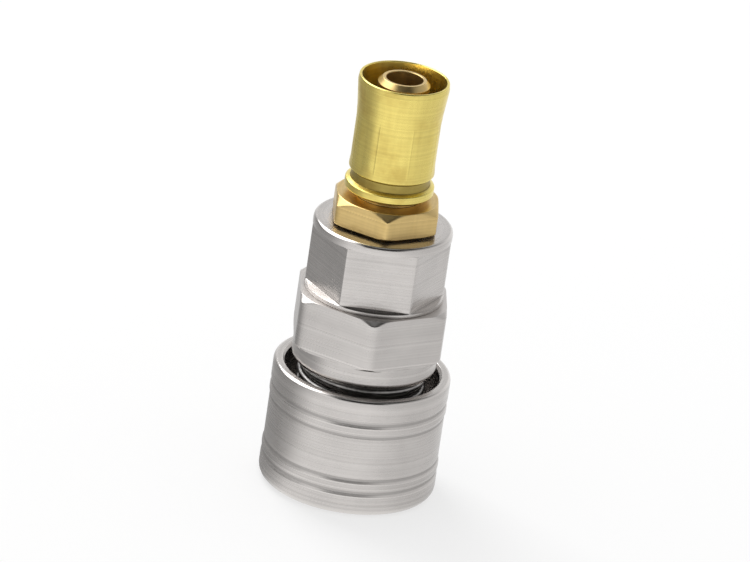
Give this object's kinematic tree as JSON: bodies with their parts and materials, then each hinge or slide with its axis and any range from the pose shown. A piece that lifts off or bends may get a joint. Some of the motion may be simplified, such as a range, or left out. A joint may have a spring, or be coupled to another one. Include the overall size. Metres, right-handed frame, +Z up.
{
  "type": "quick disconnect coupler",
  "caption": "Ball-lock quick disconnect coupler for an air line, with knock-back sleeve, shut-off valve, hexagon inlet adapter and crimped brass hose end.",
  "frame": {"origin": "on the axis at the plug mouth's face, which the coupler stands on", "axes": "+Z up the axis from the plug mouth to the hose end; -Y is the side seen in front"},
  "size_m": [0.028, 0.028, 0.0689],
  "materials": {
    "plated_steel": "satin nickel plate over turned steel",
    "ball_steel": "polished hardened steel",
    "spring_steel": "drawn stainless wire",
    "brass": "turned bright brass",
    "black_rubber": "matt nitrile rubber",
    "white_tape": "wound sealing tape"
  },
  "bodies": {
    "socket": {"socket_body": "plated_steel", "inlet_adapter": "plated_steel", "retaining_ring": "spring_steel", "plug_seal": "black_rubber", "valve_guide": "brass", "valve_spring": "spring_steel", "body_gasket": "black_rubber", "hose_stem": "brass", "hose_ferrule": "brass", "thread_seal": "white_tape"},
    "spring_stack": {"sleeve_spring": "spring_steel"},
    "sleeve": {"release_sleeve": "plated_steel"},
    "poppet": {"valve_poppet": "brass", "valve_seal": "black_rubber"},
    "ball_1": {"lock_ball_1": "ball_steel"},
    "ball_2": {"lock_ball_2": "ball_steel"},
    "ball_3": {"lock_ball_3": "ball_steel"},
    "ball_4": {"lock_ball_4": "ball_steel"},
    "ball_5": {"lock_ball_5": "ball_steel"},
    "ball_6": {"lock_ball_6": "ball_steel"}
  },
  "joints": [
    {"name": "sleeve_turn", "type": "hinge", "parent": "socket", "child": "spring_stack", "pos_m": [0, 0, 0.0156], "axis": [0, 0, 1], "continuous": true},
    {"name": "sleeve_slide", "type": "slide", "parent": "spring_stack", "child": "sleeve", "axis": [0, 0, 1], "range_m": [0, 0.0036], "stiffness_N_per_m": 2400, "springref_m": -0.004, "deforming": ["sleeve_spring"]},
    {"name": "poppet_slide", "type": "slide", "parent": "socket", "child": "poppet", "axis": [0, 0, 1], "range_m": [0, 0.004], "stiffness_N_per_m": 700, "springref_m": -0.003, "deforming": ["valve_spring"]},
    {"name": "ball_1_slide", "type": "slide", "parent": "socket", "child": "ball_1", "axis": [1, 0, 0], "range_m": [0, 0.0012]},
    {"name": "ball_2_slide", "type": "slide", "parent": "socket", "child": "ball_2", "axis": [0.5, 0.866, 0], "range_m": [0, 0.0012]},
    {"name": "ball_3_slide", "type": "slide", "parent": "socket", "child": "ball_3", "axis": [-0.5, 0.866, 0], "range_m": [0, 0.0012]},
    {"name": "ball_4_slide", "type": "slide", "parent": "socket", "child": "ball_4", "axis": [-1, 0, 0], "range_m": [0, 0.0012]},
    {"name": "ball_5_slide", "type": "slide", "parent": "socket", "child": "ball_5", "axis": [-0.5, -0.866, 0], "range_m": [0, 0.0012]},
    {"name": "ball_6_slide", "type": "slide", "parent": "socket", "child": "ball_6", "axis": [0.5, -0.866, 0], "range_m": [0, 0.0012]}
  ],
  "couplings": [
    {"joint": "ball_1_slide", "follows": "sleeve_slide", "ratio": 0.33333},
    {"joint": "ball_2_slide", "follows": "sleeve_slide", "ratio": 0.33333},
    {"joint": "ball_3_slide", "follows": "sleeve_slide", "ratio": 0.33333},
    {"joint": "ball_4_slide", "follows": "sleeve_slide", "ratio": 0.33333},
    {"joint": "ball_5_slide", "follows": "sleeve_slide", "ratio": 0.33333},
    {"joint": "ball_6_slide", "follows": "sleeve_slide", "ratio": 0.33333}
  ]
}
